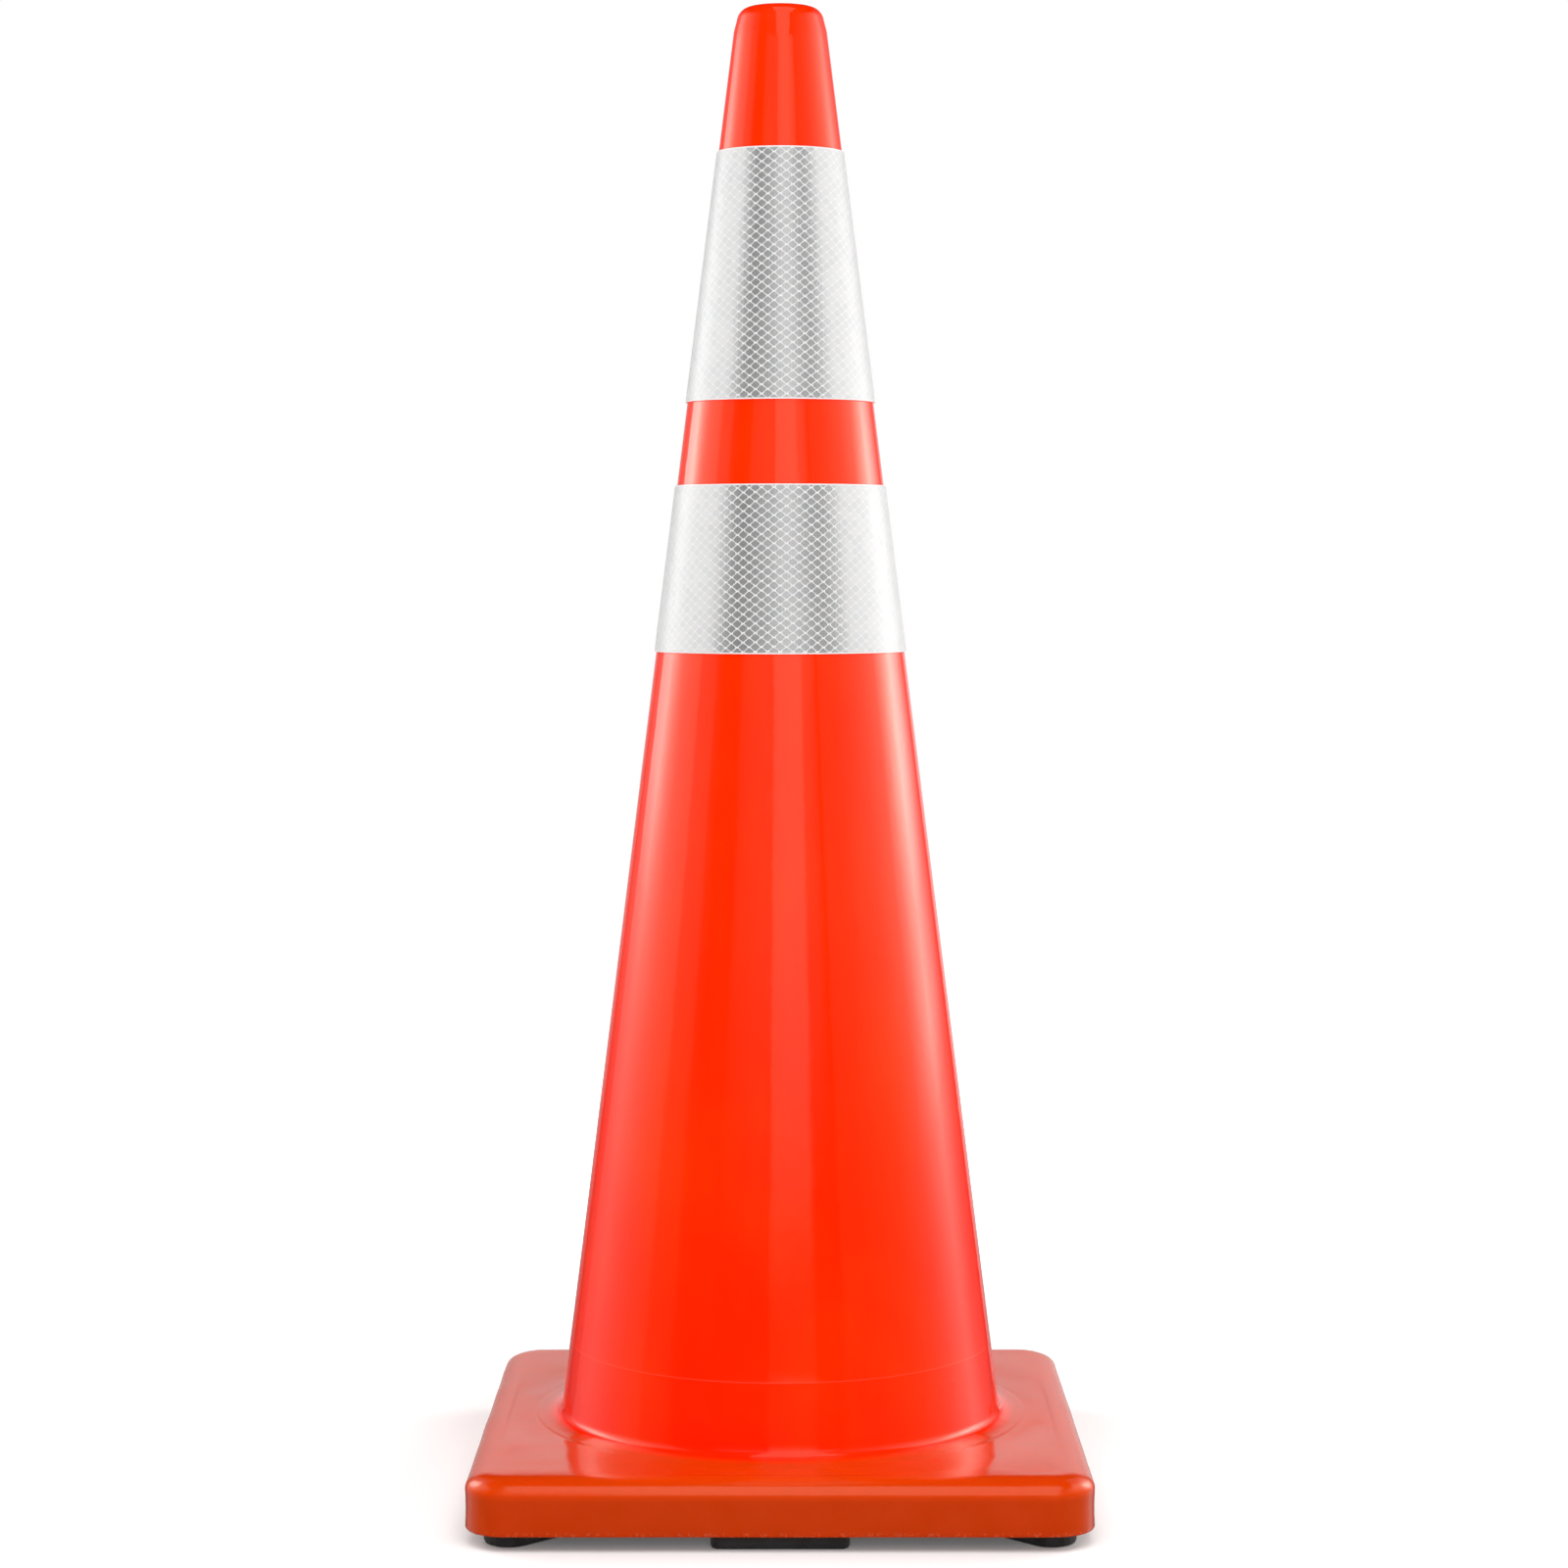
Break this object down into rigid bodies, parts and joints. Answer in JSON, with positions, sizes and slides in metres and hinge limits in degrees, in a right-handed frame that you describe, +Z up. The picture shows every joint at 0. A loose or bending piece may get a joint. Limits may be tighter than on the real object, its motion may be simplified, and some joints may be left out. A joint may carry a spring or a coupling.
{
  "type": "traffic cone",
  "caption": "Tall orange PVC traffic cone on a square ballasted base with rubber feet; its white reflective collars are sleeves that lift off over the top.",
  "frame": {"origin": "on the ground under the middle of the square base", "axes": "+Z up along the cone's axis; X and Y along the sides of the base, with -Y towards the front and the collars' lap seams at +Y"},
  "size_m": [0.364, 0.364, 0.9],
  "materials": {
    "orange_pvc": "gloss",
    "recycled_rubber": "matte",
    "black_rubber": "matte",
    "white_pvc": "satin",
    "prismatic_sheeting": "gloss"
  },
  "bodies": {
    "cone": {"cone_body": "orange_pvc", "base_weight": "recycled_rubber", "corner_foot_front_left": "black_rubber", "corner_foot_front_right": "black_rubber", "corner_foot_back_left": "black_rubber", "corner_foot_back_right": "black_rubber", "side_foot_front": "black_rubber", "side_foot_back": "black_rubber", "side_foot_left": "black_rubber", "side_foot_right": "black_rubber"},
    "lower_collar": {"lower_collar_sleeve": "white_pvc", "lower_collar_sheeting": "prismatic_sheeting"},
    "upper_collar": {"upper_collar_sleeve": "white_pvc", "upper_collar_sheeting": "prismatic_sheeting"}
  },
  "joints": [
    {"name": "lower_collar_slide", "type": "slide", "parent": "cone", "child": "lower_collar", "axis": [0, 0, 1], "range_m": [0, 0.39]},
    {"name": "upper_collar_slide", "type": "slide", "parent": "cone", "child": "upper_collar", "axis": [0, 0, 1], "range_m": [0, 0.24]}
  ]
}
